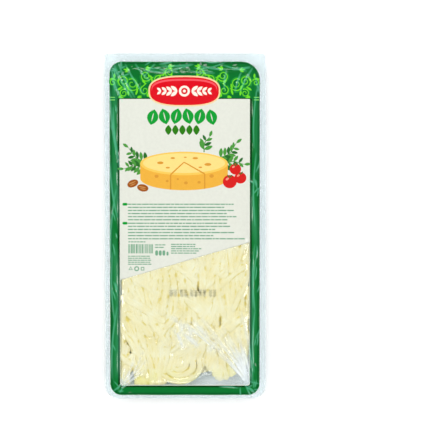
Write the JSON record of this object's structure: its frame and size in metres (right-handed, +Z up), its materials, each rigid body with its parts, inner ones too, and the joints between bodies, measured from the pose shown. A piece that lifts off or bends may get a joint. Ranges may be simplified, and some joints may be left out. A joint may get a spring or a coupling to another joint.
{
  "type": "sealed pack of string cheese",
  "caption": "Flat vacuum-sealed pack of cream-coloured cheese strands: a shallow clear tray under a printed green-framed lid film with a slanted clear window.",
  "frame": {"origin": "middle of the pack's outline, on the surface it lies on", "axes": "+X to the right across the pack, +Y along it towards the printed header, +Z up out of the lid"},
  "size_m": [0.129, 0.2764, 0.0107],
  "materials": {
    "film_and_cheese": "glossy film over cream-coloured cheese"
  },
  "bodies": {
    "root": {"sealed_pack": "film_and_cheese"}
  },
  "joints": []
}
